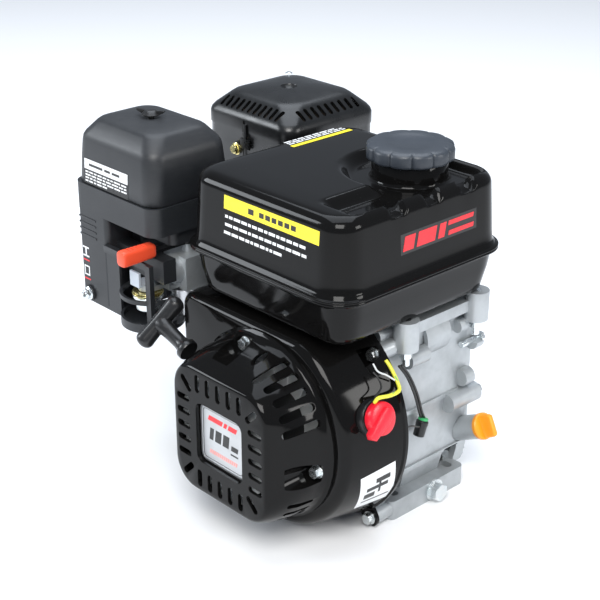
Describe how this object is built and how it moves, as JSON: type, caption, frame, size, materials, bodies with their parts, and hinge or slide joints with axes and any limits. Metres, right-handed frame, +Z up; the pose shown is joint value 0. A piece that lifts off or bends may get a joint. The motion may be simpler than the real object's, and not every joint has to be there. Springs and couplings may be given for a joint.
{
  "type": "small gasoline engine",
  "caption": "Single-cylinder horizontal-shaft overhead-valve gasoline engine with recoil starter, fuel tank, air cleaner, guarded muffler and flat base.",
  "frame": {"origin": "centre of the four base holes, on the underside of the feet", "axes": "+Z up, +Y along the crankshaft towards the output end, the cylinder leans towards -X"},
  "size_m": [0.3877, 0.3207, 0.3463],
  "materials": {
    "cast_alloy": "satin casting",
    "steel": "ground steel",
    "zinc": "zinc plated",
    "black_enamel": "gloss enamel",
    "satin_black": "satin heat-proof paint",
    "grey_plastic": "fine-grained moulding",
    "black_plastic": "moulded",
    "rubber": "moulded",
    "red_plastic": "gloss moulding",
    "orange_plastic": "gloss moulding",
    "choke_orange": "moulded",
    "light_plastic": "moulded",
    "cast_iron": "machined",
    "ceramic": "glazed",
    "badge": "brushed",
    "foam": "pleated paper and foam",
    "wire": "sleeved",
    "exhaust": "heat stained",
    "gasket": "coated sheet"
  },
  "bodies": {
    "root": {"crankcase": "cast_alloy", "side_cover": "cast_alloy", "main_bearings": "steel", "oil_seals": "rubber", "drain_plug": "zinc", "flange_bolts": "zinc", "cylinder_head": "cast_alloy", "head_gasket": "gasket", "head_bolts": "zinc", "valve_cover": "grey_plastic", "valve_cover_bolts": "zinc", "spark_plug": "ceramic", "plug_cap": "rubber", "plug_lead": "wire", "ignition_coil": "black_plastic", "rocker_shaft": "steel", "valve_springs": "steel", "fan_cover": "black_enamel", "recoil_housing": "black_enamel", "badge_plate": "badge", "intake_insulator": "black_plastic", "carburetor": "cast_alloy", "float_bowl": "steel", "sediment_cup": "zinc", "control_bracket": "zinc", "air_cleaner_case": "grey_plastic", "filter_element": "foam", "muffler": "exhaust", "muffler_guard": "satin_black", "fuel_tank": "black_enamel", "tank_nuts": "zinc", "switch_socket": "black_plastic", "wiring": "wire"},
    "crank": {"crankshaft": "steel", "crank_gear": "steel", "flywheel": "cast_iron", "cooling_fan": "light_plastic", "starter_cup": "satin_black"},
    "cam": {"camshaft": "cast_iron"},
    "piston_rod": {"piston": "cast_alloy", "piston_rings": "cast_iron", "wrist_pin": "steel", "connecting_rod": "cast_alloy", "crankpin": "steel"},
    "intake_valve": {"intake_valve": "steel"},
    "intake_rocker": {"intake_rocker": "steel"},
    "intake_pushrod": {"intake_pushrod": "steel"},
    "exhaust_valve": {"exhaust_valve": "steel"},
    "exhaust_rocker": {"exhaust_rocker": "steel"},
    "exhaust_pushrod": {"exhaust_pushrod": "steel"},
    "reel": {"starter_reel": "light_plastic"},
    "grip": {"pull_grip": "black_plastic"},
    "choke_lever": {"choke_lever": "choke_orange"},
    "fuel_cock_lever": {"fuel_cock_lever": "light_plastic"},
    "throttle_lever": {"throttle_lever": "zinc"},
    "cleaner_cover": {"air_cleaner_cover": "grey_plastic"},
    "wing_nut": {"wing_nut": "black_plastic"},
    "fuel_cap": {"fuel_cap": "grey_plastic"},
    "stop_switch": {"stop_switch": "red_plastic"},
    "dipstick": {"dipstick": "orange_plastic"}
  },
  "joints": [
    {"name": "crank_turn", "type": "hinge", "parent": "root", "child": "crank", "pos_m": [0.0145, 0, 0.106], "axis": [0, 1, 0], "continuous": true},
    {"name": "cam_turn", "type": "hinge", "parent": "root", "child": "cam", "pos_m": [-0.03956, 0, 0.06814], "axis": [0, 1, 0], "continuous": true},
    {"name": "piston_stroke", "type": "slide", "parent": "root", "child": "piston_rod", "axis": [0.9063, 0, -0.4226], "range_m": [0, 0.055]},
    {"name": "intake_pushrod_lift", "type": "slide", "parent": "root", "child": "intake_pushrod", "axis": [-0.9063, 0, 0.4226], "range_m": [0, 0.0054], "stiffness_N_per_m": 200},
    {"name": "intake_rocker_tilt", "type": "hinge", "parent": "root", "child": "intake_rocker", "pos_m": [-0.17467, -0.017, 0.15937], "axis": [0, 1, 0], "range_deg": [0, 12.12]},
    {"name": "intake_valve_lift", "type": "slide", "parent": "root", "child": "intake_valve", "axis": [0.9063, 0, -0.4226], "range_m": [0, 0.0055]},
    {"name": "exhaust_pushrod_lift", "type": "slide", "parent": "root", "child": "exhaust_pushrod", "axis": [-0.9063, 0, 0.4226], "range_m": [0, 0.0054], "stiffness_N_per_m": 200},
    {"name": "exhaust_rocker_tilt", "type": "hinge", "parent": "root", "child": "exhaust_rocker", "pos_m": [-0.17467, 0.017, 0.15937], "axis": [0, 1, 0], "range_deg": [0, 12.12]},
    {"name": "exhaust_valve_lift", "type": "slide", "parent": "root", "child": "exhaust_valve", "axis": [0.9063, 0, -0.4226], "range_m": [0, 0.0055]},
    {"name": "rope_pull", "type": "slide", "parent": "root", "child": "grip", "axis": [-0.6005, -0.7906, 0.1201], "range_m": [0, 0.6], "stiffness_N_per_m": 25},
    {"name": "reel_turn", "type": "hinge", "parent": "root", "child": "reel", "pos_m": [0.0145, 0, 0.106], "axis": [0, 1, 0], "range_deg": [-785, 0]},
    {"name": "choke_turn", "type": "hinge", "parent": "root", "child": "choke_lever", "pos_m": [-0.14, -0.098, 0.203], "axis": [0, 0, 1], "range_deg": [-18, 12]},
    {"name": "fuel_cock_turn", "type": "hinge", "parent": "root", "child": "fuel_cock_lever", "pos_m": [-0.15, -0.14, 0.193], "axis": [0, 0, 1], "range_deg": [-50, 30]},
    {"name": "throttle_turn", "type": "hinge", "parent": "root", "child": "throttle_lever", "pos_m": [-0.11, -0.063, 0.2083], "axis": [0, 0, 1], "range_deg": [-25, 25]},
    {"name": "switch_turn", "type": "hinge", "parent": "root", "child": "stop_switch", "pos_m": [0.1194, -0.102, 0.14008], "axis": [0.9511, 0, 0.309], "range_deg": [0, 75]},
    {"name": "fuel_cap_lift", "type": "slide", "parent": "root", "child": "fuel_cap", "axis": [0, 0, 1], "range_m": [0, 0.04]},
    {"name": "dipstick_pull", "type": "slide", "parent": "root", "child": "dipstick", "axis": [0.8988, 0, 0.4384], "range_m": [0, 0.08]},
    {"name": "cover_lift", "type": "slide", "parent": "root", "child": "cleaner_cover", "axis": [0, 0, 1], "range_m": [0, 0.08]},
    {"name": "wing_nut_turn", "type": "hinge", "parent": "cleaner_cover", "child": "wing_nut", "pos_m": [-0.188, -0.0985, 0.341], "axis": [0, 0, 1], "continuous": true}
  ],
  "couplings": [
    {"joint": "cam_turn", "follows": "crank_turn", "ratio": -0.5},
    {"joint": "intake_rocker_tilt", "follows": "intake_pushrod_lift", "rad_per_m": 39.095},
    {"joint": "intake_valve_lift", "follows": "intake_pushrod_lift", "ratio": 1},
    {"joint": "exhaust_rocker_tilt", "follows": "exhaust_pushrod_lift", "rad_per_m": 39.095},
    {"joint": "exhaust_valve_lift", "follows": "exhaust_pushrod_lift", "ratio": 1},
    {"joint": "reel_turn", "follows": "rope_pull", "rad_per_m": -22.727}
  ]
}
